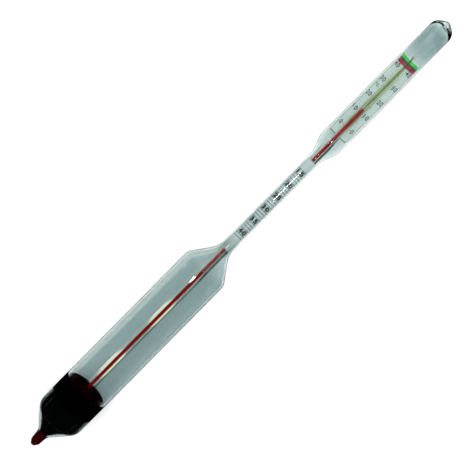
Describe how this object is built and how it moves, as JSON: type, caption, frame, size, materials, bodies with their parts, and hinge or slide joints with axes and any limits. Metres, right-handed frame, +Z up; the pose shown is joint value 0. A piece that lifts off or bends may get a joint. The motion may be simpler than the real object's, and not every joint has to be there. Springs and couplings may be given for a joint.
{
  "type": "thermometer hydrometer",
  "caption": "Floating glass densimeter for milk, with a paper density scale in its stem and a spirit thermometer that runs from the lower tip to the wide head.",
  "frame": {"origin": "on the table under the middle of the instrument's length, as it lies on its side", "axes": "+X along the instrument's axis from the lower tip to the domed head, +Z up from the table, with the printed scales facing up"},
  "size_m": [0.29, 0.0248, 0.0248],
  "materials": {
    "clear_glass": "clear blown glass with a faint grey-green tint",
    "red_spirit": "dark red dyed spirit",
    "scale_paper": "matt white paper printed in black",
    "yellow_enamel": "opaque yellow enamel strip",
    "red_band": "matt red strip",
    "green_band": "matt green strip",
    "black_pitch": "black pitch",
    "dark_red_wax": "dark red sealing wax",
    "cast_shot": "dull cast shot"
  },
  "bodies": {
    "hydrometer": {"body_glass": "clear_glass", "stem_glass": "clear_glass", "head_glass": "clear_glass", "thermometer_bulb": "clear_glass", "capillary_tube": "clear_glass", "enamel_backing": "yellow_enamel", "spirit_reservoir": "red_spirit", "density_scale": "scale_paper", "temperature_scale": "scale_paper", "red_band": "red_band", "green_band": "green_band", "ballast_pitch": "black_pitch", "sealing_wax": "dark_red_wax", "ballast_shot_01": "cast_shot", "ballast_shot_02": "cast_shot", "ballast_shot_03": "cast_shot", "ballast_shot_04": "cast_shot", "ballast_shot_05": "cast_shot", "ballast_shot_06": "cast_shot", "ballast_shot_07": "cast_shot", "ballast_shot_08": "cast_shot", "ballast_shot_09": "cast_shot", "ballast_shot_10": "cast_shot", "ballast_shot_11": "cast_shot", "ballast_shot_12": "cast_shot", "ballast_shot_13": "cast_shot", "ballast_shot_14": "cast_shot", "ballast_shot_15": "cast_shot", "ballast_shot_16": "cast_shot", "ballast_shot_17": "cast_shot", "ballast_shot_18": "cast_shot", "ballast_shot_19": "cast_shot", "ballast_shot_20": "cast_shot"},
    "spirit_column": {"spirit_thread": "red_spirit"}
  },
  "joints": [
    {"name": "spirit_expansion", "type": "slide", "parent": "hydrometer", "child": "spirit_column", "axis": [1, 0, 0], "range_m": [-0.0107, 0.0287]}
  ]
}
